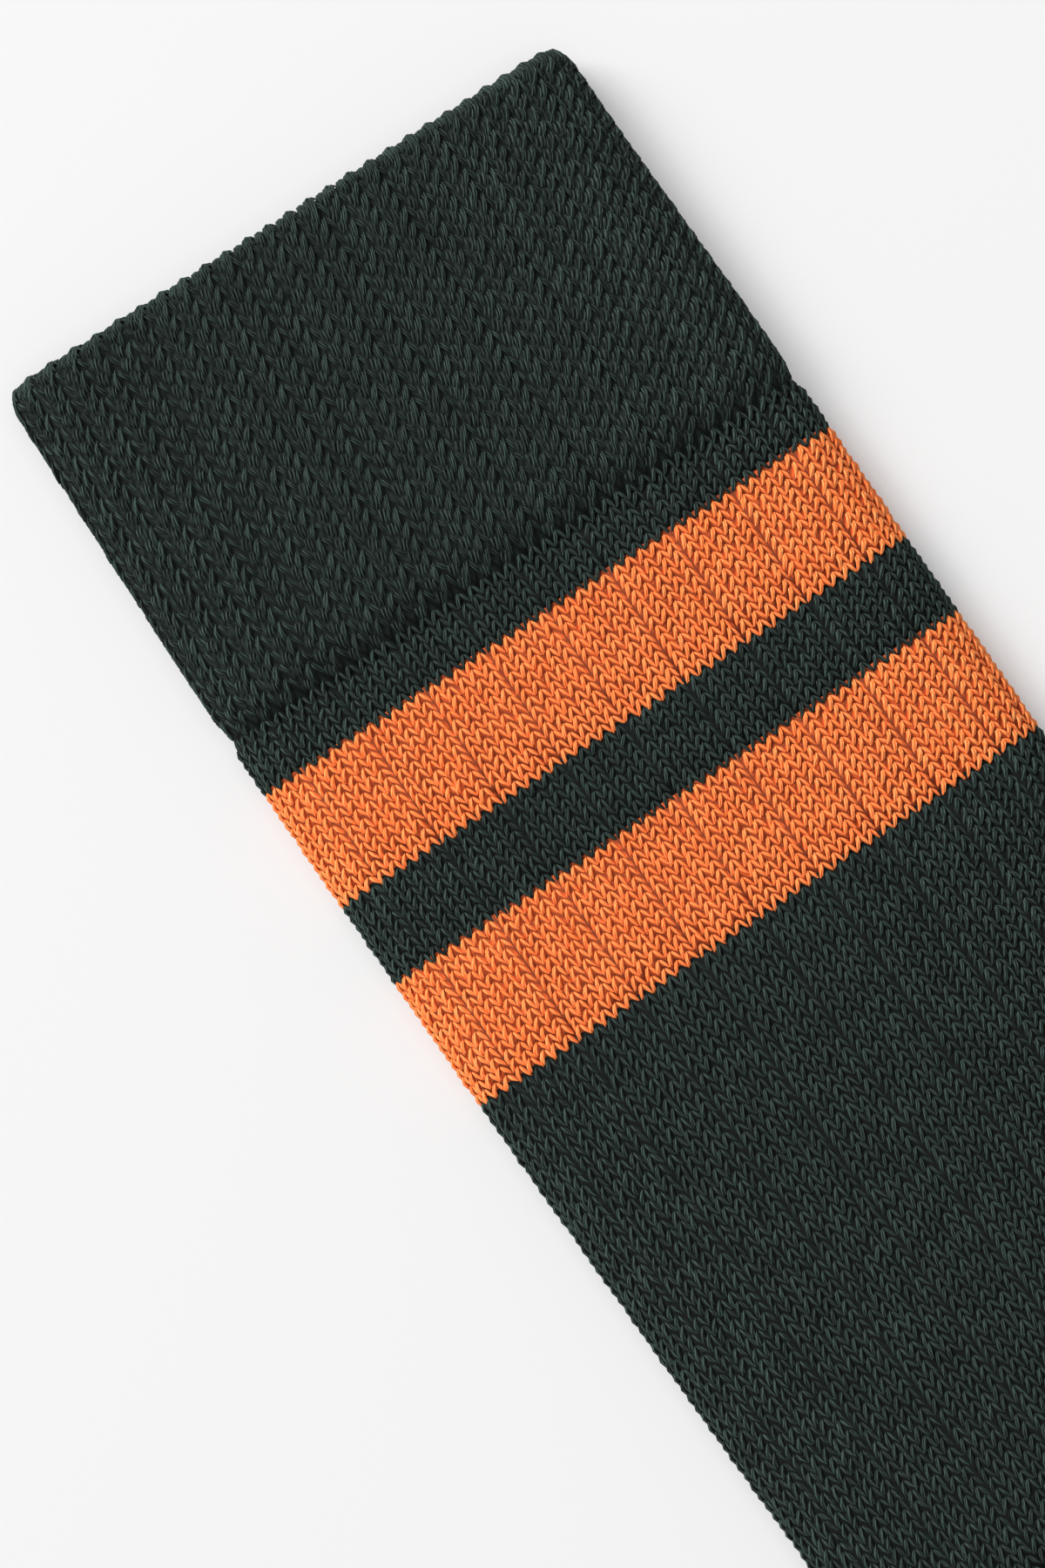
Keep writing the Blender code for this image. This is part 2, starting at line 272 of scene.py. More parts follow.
def plan(share, run):
    """Place on the floor plan for a share of the half width and a run past the ankle's mitre."""
    radius = turn_radius(share)
    arc = radius * ANKLE_BEND / 2
    turn = np.clip((run + arc) / np.maximum(2 * arc, 1e-9), 0, 1) * ANKLE_BEND
    before = np.maximum(-arc - run, 0)
    after = np.maximum(run - arc, 0)
    swell = np.minimum(share, 0) ** 2 * (1 - ease(np.abs(run) / HEEL_SWELL_LENGTH))
    side = share * HALF - HEEL_SWELL * swell
    x = side + radius * (1 - np.cos(turn)) + after * FOOT_AXIS[0]
    y = (side + radius) * MITRE - radius * np.sin(turn) + before + after * FOOT_AXIS[1]
    x, y = np.where(run > 0, shape_foot(x, y), shape_cuff(x, y))
    return curve_leg(x, y)


def shape_foot(x, y):
    """The foot narrows towards the toe past the instep's turn, and its sole draws in at the arch."""
    along = x * FOOT_AXIS[0] + y * FOOT_AXIS[1]
    across = x * FOOT_SIDE[0] + y * FOOT_SIDE[1]
    straight = (HALF + INSTEP_RADIUS) * MITRE
    slimming = (1 - TOE_WIDTH / LEG_WIDTH) * ease((along - straight) / (FOOT_LENGTH - straight))
    arch = ARCH_DEPTH / HALF * np.sin(math.pi * np.clip(along / FOOT_LENGTH, 0, 1)) ** 2
    across = across * (1 - slimming - np.where(across < 0, arch, 0))
    return (along * FOOT_AXIS[0] + across * FOOT_SIDE[0],
            along * FOOT_AXIS[1] + across * FOOT_SIDE[1])


def shape_cuff(x, y):
    """The cuff draws in a little towards the mouth."""
    cuff_start = LEG_LENGTH - CUFF_LENGTH
    return x * (1 - (1 - CUFF_WIDTH / LEG_WIDTH) * ease((y - cuff_start) / CUFF_LENGTH)), y


def curve_leg(x, y):
    """The leg's long curve, with the front edge on its inside, and the slope of its upper rows."""
    y = y - ROW_SLOPE * x * ease((y - ROW_SLOPE_START) / ROW_SLOPE_LENGTH)
    radius = LEG_LENGTH / LEG_CURVE
    angle = np.maximum(y, 0) / radius
    return (radius - (radius - x) * np.cos(angle),
            (radius - x) * np.sin(angle) + np.minimum(y, 0))


def rise(share, upper, inset, height):
    """Height over the floor: flat faces with rounded edges, and a slight crown on the upper one."""
    margin = (1 - np.abs(share)) * (HALF - inset)
    rounding = np.where(upper, UPPER_EDGE_ROUND, LOWER_EDGE_ROUND) - inset
    bulge = np.sqrt(1 - (1 - np.clip(margin / rounding, 0, 1)) ** 2)
    reach = height / 2 - inset
    top = (reach - CROWN) * bulge + CROWN * (1 - share ** 2)
    return height / 2 + np.where(upper, top, -reach * bulge)


def leg_run(share, height_up):
    """Run of a place in the leg that lies this far above the ankle's corner."""
    radius = turn_radius(share)
    return (share * HALF + radius) * MITRE - height_up - radius * ANKLE_BEND / 2


def foot_run(share, along):
    """Run of a place in the foot that lies this far along it from the ankle's corner."""
    radius = turn_radius(share)
    return along - (share * HALF + radius) * MITRE + radius * ANKLE_BEND / 2


def ankle_run(share, station, tube_run, length):
    """Run of a row of the leg or foot, from its far end at station 0 to the ankle at station 1."""
    far = tube_run(share, length)
    square = tube_run(share, 0)
    end = np.where(share > 0, 0, square)
    return far + (square - far) * station + (end - square) * station ** 2


def girth_table():
    """Distance round the skin from the back edge, over the upper face and back underneath."""
    over = np.sin(np.linspace(-math.pi / 2, math.pi / 2, GIRTH_POINTS))
    under = over[::-1]
    upper_z = rise(over, True, 0, LEG_HEIGHT)
    lower_z = rise(under, False, 0, LEG_HEIGHT)
    share = np.concatenate([over, under[1:]])
    height = np.concatenate([upper_z, lower_z[1:]])
    steps = np.hypot(np.diff(share) * HALF, np.diff(height))
    travelled = np.concatenate([[0], np.cumsum(steps)])
    return travelled, share, travelled[len(over) - 1]


GIRTH, GIRTH_SHARES, FACE = girth_table()


def around(distance):
    """Share, and whether on the upper face, at a distance round the skin from the back edge."""
    distance = np.mod(distance, GIRTH[-1])
    return np.interp(distance, GIRTH, GIRTH_SHARES), distance <= FACE


def toe_points(share, upper, advance, inset):
    """Places on the rounded toe at a share of its length, moved in by the inset."""
    power = TOE_SQUARENESS
    advance = np.clip(advance, 0, 1)
    narrowing = np.maximum(1 - advance ** power, 0) ** (1 / power)
    nearness = (advance ** power + (np.abs(share) * narrowing) ** power) ** (1 / power)
    across = share * narrowing * (TOE_WIDTH / 2 - inset)
    along = FOOT_LENGTH + JOIN_GAP / 2 + advance * (TOE_LENGTH - JOIN_GAP / 2 - inset)
    x = along * FOOT_AXIS[0] + across * FOOT_SIDE[0]
    y = along * FOOT_AXIS[1] + across * FOOT_SIDE[1]
    z = rise(np.minimum(nearness, 1), upper, inset, LEG_HEIGHT)
    return np.stack(np.broadcast_arrays(x, y, z), axis=-1)


def plan_samples():
    """Points all over the sock's floor plan: leg, foot, heel and toe."""
    share, upper = around(np.linspace(0, GIRTH[-1], ROUND_SAMPLES))
    points = []
    for height_up in np.linspace(0, LEG_LENGTH, TUBE_SAMPLES):
        points.append(np.stack(plan(share, leg_run(share, height_up)), axis=-1))
    for along in np.linspace(0, FOOT_LENGTH, TUBE_SAMPLES):
        points.append(np.stack(plan(share, foot_run(share, along)), axis=-1))
    for height_up in np.linspace(-HEEL_DEPTH, 0, HEEL_SAMPLES):
        run = np.minimum(leg_run(share, height_up), 0)
        points.append(np.stack(plan(share, run), axis=-1)[share < 0])
    for advance in np.linspace(0, 1, TOE_SAMPLES):
        points.append(toe_points(share, upper, advance, 0)[:, :2])
    return np.concatenate(points)


def row_shift():
    """Moves the ankle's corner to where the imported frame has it."""
    points = plan_samples()
    drawn_middle = (points.min(axis=0) + points.max(axis=0)) / 2
    packed_middle = np.array([cad_low.x + cad_high.x, cad_low.y + cad_high.y]) / 2
    return np.append(packed_middle - drawn_middle, 0)


SHIFT = row_shift()


# Stretches of knitting

class Stretch:
    """One stretch of the sock: where its rows of stitches run, and how its wall lies."""

    def __init__(self, name, course, rows, run_at, height_at=None, wall=LEG_WALL, bed=LEG_BED):
        self.name = name
        self.course = course
        self.rows = rows
        self.run_at = run_at
        self.height_at = height_at or (lambda row: LEG_HEIGHT)
        self.wall = wall
        self.bed = bed

    def place(self, distance, row, inset):
        """Places in the row frame. The inset is the depth under the sock's outer face."""
        share, upper = around(distance)
        drawn = share * (1 - inset / HALF)
        x, y = plan(drawn, self.run_at(drawn, row))
        z = rise(share, upper, inset, self.height_at(row))
        return np.stack(np.broadcast_arrays(x, y, z), axis=-1) + SHIFT


class CuffStretch(Stretch):
    """The cuff's rows go on over its rolled mouth, and its end sinks to the knitting below it."""

    def place(self, distance, row, inset):
        depth = row * self.course
        end = ease((depth - CUFF_LENGTH + CUFF_END_LENGTH) / CUFF_END_LENGTH)
        centre = (self.bed + self.wall) / 2
        turned = np.maximum(centre - depth, 0) / LIP_RADIUS
        radius = centre - inset
        depth = np.where(turned > 0, centre - radius * np.sin(turned), depth)
        inset = np.where(turned > 0, centre - radius * np.cos(turned), inset)
        return Stretch.place(self, distance, depth / self.course, inset + CUFF_END_SINK * end)


class ToeStretch(Stretch):
    """The toe's rows lie across it, closer together round its tip."""

    def __init__(self):
        super().__init__("toe", LEG_COURSE, TOE_LENGTH / LEG_COURSE, None)

    def place(self, distance, row, inset):
        share, upper = around(distance)
        return toe_points(share, upper, row / self.rows, inset) + SHIFT


def cuff_stretch():
    """The cuff, from its mouth down, with rounded corners and a step down to the leg at its end."""
    def run_at(share, row):
        depth = row * CUFF_COURSE
        corner = np.clip((np.abs(share) * HALF - HALF + CUFF_CORNER) / CUFF_CORNER, 0, 1)
        drop = CUFF_CORNER * (1 - np.sqrt(1 - corner ** 2)) * (1 - ease(depth / CUFF_LENGTH))
        return leg_run(share, LEG_LENGTH - depth - drop)

    def height_at(row):
        step = ease((row * CUFF_COURSE - CUFF_LENGTH + CUFF_STEP_LENGTH) / CUFF_STEP_LENGTH)
        return CUFF_HEIGHT - (CUFF_HEIGHT - LEG_HEIGHT) / 2 * step

    return CuffStretch("cuff", CUFF_COURSE, CUFF_LENGTH / CUFF_COURSE, run_at, height_at,
                       CUFF_WALL, CUFF_BED)


def band_stretch(name, top, length):
    """A stripe or band below this height over the ankle's corner."""
    rows = round(length / STRIPE_COURSE)
    course = length / rows
    return Stretch(name, course, rows, lambda share, row: leg_run(share, top - row * course))


def shank_stretch():
    """The leg below the stripes."""
    rows = round(SHANK_LENGTH / LEG_COURSE)

    def run_at(share, row):
        return ankle_run(share, row / rows, leg_run, SHANK_LENGTH)

    return Stretch("leg", SHANK_LENGTH / rows, rows, run_at)


def foot_stretch():
    """The foot, from the ankle to the toe."""
    rows = round(FOOT_LENGTH / LEG_COURSE)

    def run_at(share, row):
        return ankle_run(share, 1 - row / rows, foot_run, FOOT_LENGTH)

    return Stretch("foot", FOOT_LENGTH / rows, rows, run_at)


def heel_leg_stretch():
    """The heel's rows on the leg's side of the gore."""
    return Stretch("heel", LEG_COURSE, HEEL_ROWS,
                   lambda share, row: leg_run(share, -row * LEG_COURSE))


def heel_foot_stretch():
    """The heel's rows on the foot's side of the gore."""
    return Stretch("heel", LEG_COURSE, HEEL_ROWS,
                   lambda share, row: foot_run(share, row * LEG_COURSE))


# Yarn

def bend(values, station):
    """Smooth curve through three values at the start, the middle and the end."""
    start, middle, end = values
    control = 2 * middle - (start + end) / 2
    return start * (1 - station) ** 2 + 2 * control * station * (1 - station) + end * station ** 2


def strand(path, width, height, sides=5, rings=4, top_light=1.0):
    """One spindle of yarn along a curved path of (across, up, lift), with more or less painted light
    on its top.

    Each point carries its place in the yarn: travelled along it, across it, and how high round it,
    scaled by its share of painted light, which paints light on the strand's top and shade on its
    sides.
    """
    path = np.array(path)
    station = (1 - np.cos(np.linspace(0, math.pi, rings + 2))) / 2
    place = np.stack([bend(path[:, axis], station) for axis in range(3)], axis=-1)
    fatness = np.sin(math.pi * station) ** STRAND_FULLNESS
    step = np.gradient(place[:, :2], axis=0)
    step /= np.linalg.norm(step, axis=1, keepdims=True)
    side = np.stack([-step[:, 1], step[:, 0], np.zeros(len(step))], axis=-1)
    travelled = np.concatenate([[0], np.cumsum(np.linalg.norm(np.diff(place, axis=0), axis=1))])
    angle = np.linspace(0, 2 * math.pi, sides, endpoint=False) + math.pi / 2
    points = [place[0]]
    yarn = [(travelled[0], 0, 0)]
    for index in range(1, rings + 1):
        for turn in angle:
            out = side[index] * math.cos(turn) * width * fatness[index]
            lift = np.array([0, 0, math.sin(turn) * height * fatness[index]])
            points.append(place[index] + out + lift)
            yarn.append((travelled[index], width * math.cos(turn), top_light * math.sin(turn)))
    points.append(place[-1])
    yarn.append((travelled[-1], 0, 0))
    return np.array(points), np.array(yarn), spindle_faces(sides, rings)


def spindle_faces(sides, rings):
    """Triangles round a spindle: a fan at each end, and pairs between its rings."""
    last = sides * rings + 1
    faces = []
    for index in range(sides):
        following = (index + 1) % sides
        faces.append((0, 1 + following, 1 + index))
        faces.append((last, last - sides + index, last - sides + following))
        for ring in range(rings - 1):
            start = 1 + ring * sides
            faces.append((start + index, start + following, start + sides + index))
            faces.append((start + following, start + sides + following, start + sides + index))
    return np.array(faces)


def gather(strands):
    """Several strands as one template."""
    points, yarn, faces, start = [], [], [], 0
    for number, (point, thread, face) in enumerate(strands):
        points.append(point)
        yarn.append(thread + np.array([STRAND_SHIFT * number, 0, 0]))
        faces.append(face + start)
        start += len(point)
    return np.concatenate(points), np.concatenate(yarn), np.concatenate(faces)


def side_strands(start, middle, end, offsets, width, height, rings=4, sides=5, top_light=1.0):
    """Strands side by side along one path of (across, up, lift), in metres."""
    strands = []
    for offset in offsets:
        path = [(place[0] + offset, place[1] + PLY_SLANT * offset, place[2])
                for place in (start, middle, end)]
        strands.append(strand(path, width, height, sides, rings, top_light))
    return strands


def cuff_strands(start, middle, end, offsets, width, height, rings=4, sides=5, top_light=1.0):
    """Strands side by side as above, in millimetres."""
    path = [tuple(length * MM for length in place) for place in (start, middle, end)]
    return side_strands(*path, [offset * MM for offset in offsets], width * MM, height * MM,
                        rings, sides, top_light)


def plain_stitch(wale, course, rings=3, plies=2):
    """Λ of plain knit: a high left leg of one or two plies, and a lower right leg under it."""
    left = side_strands((-0.02 * wale, 0.72 * course, 0.00006),
                        (-0.235 * wale, 0.04 * course, 0.00036),
                        (-0.50 * wale, -0.84 * course, -0.00004),
                        PLY_PLACES[plies], LEFT_LEG / plies * wale, 0.00024, rings, 4)
    # The right leg takes less painted light on its top than the left one: painted shade
    right = side_strands((0.06 * wale, 0.64 * course, 0.00000),
                         (0.262 * wale, 0.00, 0.00019),
                         (0.48 * wale, -0.80 * course, -0.00002),
                         PLY_PLACES[1], RIGHT_LEG * wale, 0.00022, rings, 4, RIGHT_LEG_TOP_LIGHT)
    return gather(left + right)


def bold_stitch():
    """Λ of the cuff's bold wales: a tall left leg of bright strands and a lesser right one."""
    # The under strand and the right leg take less painted light on their tops than the left leg:
    # painted shade
    left = cuff_strands((0.06, 1.36, 0.26), (-0.34, 0.02, 0.52), (-0.94, -1.44, -0.12),
                        (-0.19, 0.13), 0.160, 0.21)
    under = cuff_strands((-0.50, 0.92, 0.06), (-0.80, 0.06, 0.26), (-1.18, -0.94, -0.10),
                         (0.0,), 0.175, 0.20, top_light=0.4)
    right = cuff_strands((0.26, 0.98, 0.10), (0.58, 0.16, 0.24), (0.98, -0.84, -0.08),
                         (-0.10, 0.20), 0.150, 0.18, top_light=RIGHT_LEG_TOP_LIGHT)
    return gather(left + under + right)


def sunken_stitch():
    """Small steep strands in the recess between two bold wales, with a hole beside them."""
    # These strands take less painted light on their tops, the low and back ones least: painted shade
    # in the recess
    high = cuff_strands((0.34, 0.98, 0.06), (0.08, 0.00, 0.27), (-0.30, -1.04, -0.04),
                        (0.0,), 0.195, 0.21, top_light=0.6)
    low = cuff_strands((0.66, 0.52, 0.04), (0.44, -0.16, 0.19), (0.14, -1.14, -0.04),
                       (0.0,), 0.190, 0.20, top_light=0.3)
    back = cuff_strands((-0.26, 1.08, -0.02), (-0.38, 0.34, 0.15), (-0.60, -0.56, -0.06),
                        (0.0,), 0.190, 0.20, top_light=0.3)
    return gather(high + low + back)


def mouth_loop():
    """Rounded loop over the mouth's fold at a bold wale: two arches, and strands that fill them."""
    arch = cuff_strands((-1.40, -0.50, 0.00), (-0.14, 0.56, 0.54), (1.12, -0.50, 0.00),
                        (0.0,), 0.20, 0.24, 8, 7)
    inner = cuff_strands((-0.90, -1.40, 0.16), (-0.14, 0.34, 0.66), (0.62, -1.30, 0.10),
                         (0.0,), 0.19, 0.22, 8, 7)
    # The filling strands take half the painted light on their tops
    filling = cuff_strands((-0.44, -1.70, 0.24), (-0.14, 0.30, 0.46), (-0.04, 2.10, 0.20),
                           (-0.62, -0.22, 0.18, 0.58), 0.22, 0.23, 8, 6, 0.5)
    return gather(arch + inner + filling)


def small_mouth_loop():
    """Lesser loop over the fold between two bold wales."""
    arch = cuff_strands((-0.80, -0.70, -0.04), (0.04, 0.48, 0.36), (0.88, -0.70, -0.04),
                        (0.0,), 0.19, 0.22, 8, 7)
    # The filling strands take half the painted light on their tops
    filling = cuff_strands((-0.10, -1.20, 0.04), (0.04, 0.30, 0.30), (0.10, 2.00, 0.14),
                           (-0.44, -0.06, 0.34), 0.22, 0.22, 8, 6, 0.5)
    return gather(arch + filling)


# Wales and rows

def ribbed_wales(side_wales=SIDE_WALES):
    """Middles of the leg's wales over the face and round both lower edges."""
    steps = (np.arange(WALES_PER_RIB) + 0.5) * WALE + RIB_GROOVE / 2
    ribs = np.arange(-RIBS_ON_FACE, RIBS_ON_FACE + 1) * RIB_PITCH + FACE / 2
    distance = (ribs[:, None] + steps).ravel()
    margin = side_wales * WALE
    return distance[(distance > -margin) & (distance < FACE + margin)]


def cuff_wales():
    """Middles of the cuff's bold wales, a little wider at the back edge than at the front one."""
    place = np.arange(-CUFF_SIDE_WALES, CUFF_WALES_ON_FACE + CUFF_SIDE_WALES) + 0.5
    place = place / CUFF_WALES_ON_FACE
    inside = np.clip(place, 0, 1)
    return (place + CUFF_WALE_DRIFT * inside * (1 - inside)) * FACE


def rib_sink(distance):
    """How far the knitting sinks at the lines between two ribs."""
    rib = (distance - FACE / 2) / RIB_PITCH
    away = (rib - np.round(rib)) * RIB_PITCH
    return RIB_SINK * np.exp(-(away / RIB_SINK_WIDTH) ** 2)


def grid(wales, rows):
    """Every wale with every row."""
    distance, row = np.meshgrid(wales, rows)
    return distance.ravel(), row.ravel()


def lay_stitches(stretch, template, distance, row, seed, ribbed=True, loose=1.0):
    """Every stitch at its distance round the skin and its row, each a little different."""
    points, yarn, faces = template
    chance = np.random.default_rng(seed)
    count = len(distance)
    turn = chance.normal(0, TURN_SPREAD * loose, count)[:, None]
    size = 1 + chance.normal(0, SIZE_SPREAD * loose, (count, 2))
    slip = chance.normal(0, SLIP_SPREAD * loose, (count, 2))
    lift = chance.normal(0, LIFT_SPREAD * loose, count)[:, None]
    across = points[None, :, 0] * size[:, :1]
    up = points[None, :, 1] * size[:, 1:]
    across, up = across * np.cos(turn) - up * np.sin(turn), across * np.sin(turn) + up * np.cos(turn)
    far = distance[:, None] + across + slip[:, :1]
    rows = row[:, None] - (up + slip[:, 1:]) / stretch.course
    inset = stretch.bed - points[None, :, 2] - lift
    if ribbed:
        inset = inset + rib_sink(far)
    placed = stretch.place(far, rows, inset).reshape(-1, 3)
    thread = np.broadcast_to(yarn, (count,) + yarn.shape).copy()
    thread[:, :, 0] += chance.uniform(0, THREAD_SHIFT, (count, 1))
    shade = np.broadcast_to(chance.uniform(0, 1, (count, 1)), (count, len(points)))
    every_face = faces[None] + (np.arange(count) * len(points))[:, None, None]
    return placed, thread.reshape(-1, 3), shade.reshape(-1), every_face.reshape(-1, 3)


def lay_rows(stretch, template, wales, rows, seed, ribbed=True, loose=1.0):
    """A stitch in every wale of every row."""
    distance, row = grid(wales, rows)
    return lay_stitches(stretch, template, distance, row, seed, ribbed, loose)


def merge(parts):
    """Several laid sets as one: points, yarn, shade and faces."""
    start = 0
    faces = []
    for part in parts:
        faces.append(part[3] + start)
        start += len(part[0])
    values = [np.concatenate([part[kind] for part in parts]) for kind in range(3)]
    return (*values, np.concatenate(faces))


# Pieces

def make_piece(name, points, faces, material):
    """Smooth mesh object in the row frame."""
    mesh = bpy.data.meshes.new(name)
    mesh.vertices.add(len(points))
    mesh.vertices.foreach_set("co", np.ascontiguousarray(points, dtype=np.float32).ravel())
    mesh.loops.add(faces.size)
    mesh.loops.foreach_set("vertex_index", faces.astype(np.int32).ravel())
    mesh.polygons.add(len(faces))
    starts = np.arange(0, faces.size, faces.shape[1], dtype=np.int32)
    mesh.polygons.foreach_set("loop_start", starts)
    mesh.update(calc_edges=True)
    mesh.validate()
    mesh.shade_smooth()
    mesh.materials.append(material)
    piece = bpy.data.objects.new(name, mesh)
    bpy.context.scene.collection.objects.link(piece)
    return piece


def add_values(piece, name, values):
    """Named value at each point of the piece."""
    values = np.asarray(values, dtype=np.float32)
    if values.ndim == 1:
        attribute = piece.data.attributes.new(name, "FLOAT", "POINT")
        attribute.data.foreach_set("value", values)
    else:
        attribute = piece.data.attributes.new(name, "FLOAT_VECTOR", "POINT")
        attribute.data.foreach_set("vector", values.ravel())


def finish_piece(piece, node, slot):
    """The piece rides on the sock and stands for its node, which is hidden. The slot is not used."""
    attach(piece, "root")
    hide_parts(node)
    return piece


def stitches_piece(name, parts, node, slot, material):
    """Joined stitches as one piece."""
    points, thread, shade, faces = merge(parts)
    piece = make_piece(name, points, faces, material)
    add_values(piece, "yarn", thread)
    add_values(piece, "shade", shade)
    return finish_piece(piece, node, slot)


def wall_piece(stretch, rows, distances, slot, material, closed=True, mouth=False):
    """Closed shell from the bed of the stitches to the inner face, rolled over at the mouth.

    Each point carries its place in the knitting: ribs from the face's middle, and rows.
    """
    def skin(row, inset):
        return stretch.place(distances, np.full(len(distances), row), inset)

    lip = []
    if mouth:
        lip = [skin(rows[0] - LIP_RADIUS * turned / stretch.course, stretch.bed)
               for turned in LIP_TURNS]
    outer = [skin(row, stretch.bed) for row in rows]
    inner = [skin(row, stretch.wall) for row in rows]
    rings = lip + outer + inner[::-1]
    faces = ring_faces(len(rings), len(distances), closed)
    if not closed:
        faces = np.concatenate([faces, side_faces(len(rings), len(outer), len(distances))])
    piece = make_piece(stretch.name + "_wall", np.concatenate(rings), faces, material)
    ring_rows = np.concatenate([np.full(len(lip), rows[0]), rows, rows[::-1]])
    rib, row = grid((distances - FACE / 2) / RIB_PITCH, ring_rows)
    add_values(piece, "knit", np.stack([rib, row, np.zeros(len(rib))], axis=-1))
    return finish_piece(piece, stretch.name, slot)


def ring_faces(total, count, closed):
    """Faces from each ring of points to the next, and from the last ring to the first."""
    faces = []
    for first in range(total):
        second = (first + 1) % total
        index = np.arange(count if closed else count - 1)
        following = (index + 1) % count
        faces.append(np.stack([first * count + index, first * count + following,
                               second * count + following, second * count + index], axis=-1))
    return np.concatenate(faces)


def side_faces(total, outer_count, count):
    """Faces that close both cut sides of a shell that doesn't run right round."""
    faces = []
    for edge in (0, count - 1):
        for index in range(outer_count - 1):
            outer = index * count + edge
            inner = (total - 1 - index) * count + edge
            faces.append((outer, outer + count, inner - count, inner))
    return np.array(faces)


def ring_distances():
    """Even places right round the girth."""
    return np.linspace(0, GIRTH[-1], RING_POINTS, endpoint=False)


def declare_sheet(wall, girth, length, area=None):
    """Works out a wall's flat cut, its girth and length, at least the shortest cut, and the area of a
    band shorter than that, and keeps none of them. The wall is not used.
    """
    cut_length = max(length, SHORTEST_CUT)
    if area is None and cut_length > length:
        area = girth * length


# Materials

def new_material(name):
    """Material with its node tree and its shader."""
    material = bpy.data.materials.new(name)
    material.use_nodes = True
    return material, material.node_tree, material.node_tree.nodes["Principled BSDF"]


def set_matt(shader, roughness, specular):
    """Matt finish without metal."""
    shader.inputs["Roughness"].default_value = roughness
    shader.inputs["Metallic"].default_value = 0.0
    shader.inputs["Specular IOR Level"].default_value = specular


def point_value(tree, name, output):
    """Value that each point of the mesh carries."""
    node = tree.nodes.new("ShaderNodeAttribute")
    node.attribute_name = name
    return node.outputs[output]


def split_vector(tree, vector):
    """The three parts of a vector."""
    node = tree.nodes.new("ShaderNodeSeparateXYZ")
    tree.links.new(vector, node.inputs[0])
    return node.outputs


def math_node(tree, operation, first, second=0.0, third=0.0):
    """Result of an operation: a number is set on its socket, and a socket is linked."""
    node = tree.nodes.new("ShaderNodeMath")
    node.operation = operation
    for socket, value in zip(node.inputs, (first, second, third)):
        if isinstance(value, (int, float)):
            socket.default_value = value
        else:
            tree.links.new(value, socket)
    return node.outputs[0]


def add_bump(tree, shader, height, distance):
    """Relief of the surface from a height."""
    bump = tree.nodes.new("ShaderNodeBump")
    bump.inputs["Strength"].default_value = BUMP_STRENGTH
    bump.inputs["Distance"].default_value = distance
    tree.links.new(height, bump.inputs["Height"])
    tree.links.new(bump.outputs["Normal"], shader.inputs["Normal"])


def fibre_noise(tree, thread):
    """Streaks as long and as thin as fibres, along the strand."""
    stretch = tree.nodes.new("ShaderNodeVectorMath")
    stretch.operation = "MULTIPLY"
    stretch.inputs[1].default_value = FIBRE_SCALE
    tree.links.new(thread, stretch.inputs[0])
    noise = tree.nodes.new("ShaderNodeTexNoise")
    noise.inputs["Scale"].default_value = 1.0
    noise.inputs["Detail"].default_value = 2.0
    noise.inputs["Roughness"].default_value = 0.6
    tree.links.new(stretch.outputs[0], noise.inputs["Vector"])
    return noise.outputs["Fac"]


def ply_wave(tree, place, fibres):
    """Plies that lie side by side in the strand and wind slowly round it, from 0 to 1."""
    across = math_node(tree, "MULTIPLY", place["Y"], 2 * math.pi / PLY_WIDTH)
    wound = math_node(tree, "MULTIPLY_ADD", place["X"], 2 * math.pi / PLY_TWIST, across)
    wavy = math_node(tree, "MULTIPLY_ADD", fibres, 2.0, wound)
    wave = math_node(tree, "SINE", wavy)
    return math_node(tree, "MULTIPLY_ADD", wave, 0.5, 0.5)


def tone_colour(tree, tone, dark, yarn, fibre):
    """Colour of a tone, from the depths of the yarn to its raised fibres; the low tones also carry
    painted shade and the high tones painted light.
    """
    ramp = tree.nodes.new("ShaderNodeValToRGB")
    tones = ramp.color_ramp.elements
    tones[0].position = DARK_TONE
    tones[0].color = (*dark, 1)
    tones[1].position = FIBRE_TONE
    tones[1].color = (*fibre, 1)
    tones.new(YARN_TONE).color = (*yarn, 1)
    tree.links.new(tone, ramp.inputs["Fac"])
    return ramp.outputs["Color"]


def yarn_material(name, dark, yarn, fibre, sheen):
    """Twisted matt yarn: plies and fine fibres run along each strand, in colour and in relief. The
    grooves between the plies take painted shade and their crests painted light, and each strand's top
    is painted lighter and its sides darker.
    """
    material, tree, shader = new_material(name)
    thread = point_value(tree, "yarn", "Vector")
    place = split_vector(tree, thread)
    fibres = fibre_noise(tree, thread)
    plies = ply_wave(tree, place, fibres)
    shade = point_value(tree, "shade", "Fac")
    streaks = math_node(tree, "MULTIPLY", fibres, FIBRE_SHARE)
    # The ply wave paints shade into the grooves between the plies and light onto their crests, as
    # well as giving relief
    relief = math_node(tree, "MULTIPLY_ADD", plies, PLY_SHADE_SHARE, streaks)
    varied = math_node(tree, "MULTIPLY_ADD", shade, SHADE_SHARE, relief)
    # Painted light on each strand's top and painted shade on its sides, from how high round the
    # strand each point lies
    painted_top_tone = math_node(tree, "MULTIPLY_ADD", place["Z"], PAINTED_TOP_LIGHT, varied)
    colour = tone_colour(tree, painted_top_tone, dark, yarn, fibre)
    tree.links.new(colour, shader.inputs["Base Color"])
    add_bump(tree, shader, relief, YARN_RELIEF)
    set_matt(shader, 0.85, 0.25)
    shader.inputs["Sheen Weight"].default_value = sheen
    shader.inputs["Sheen Roughness"].default_value = 0.5
    shader.inputs["Sheen Tint"].default_value = (*fibre, 1)
    return material


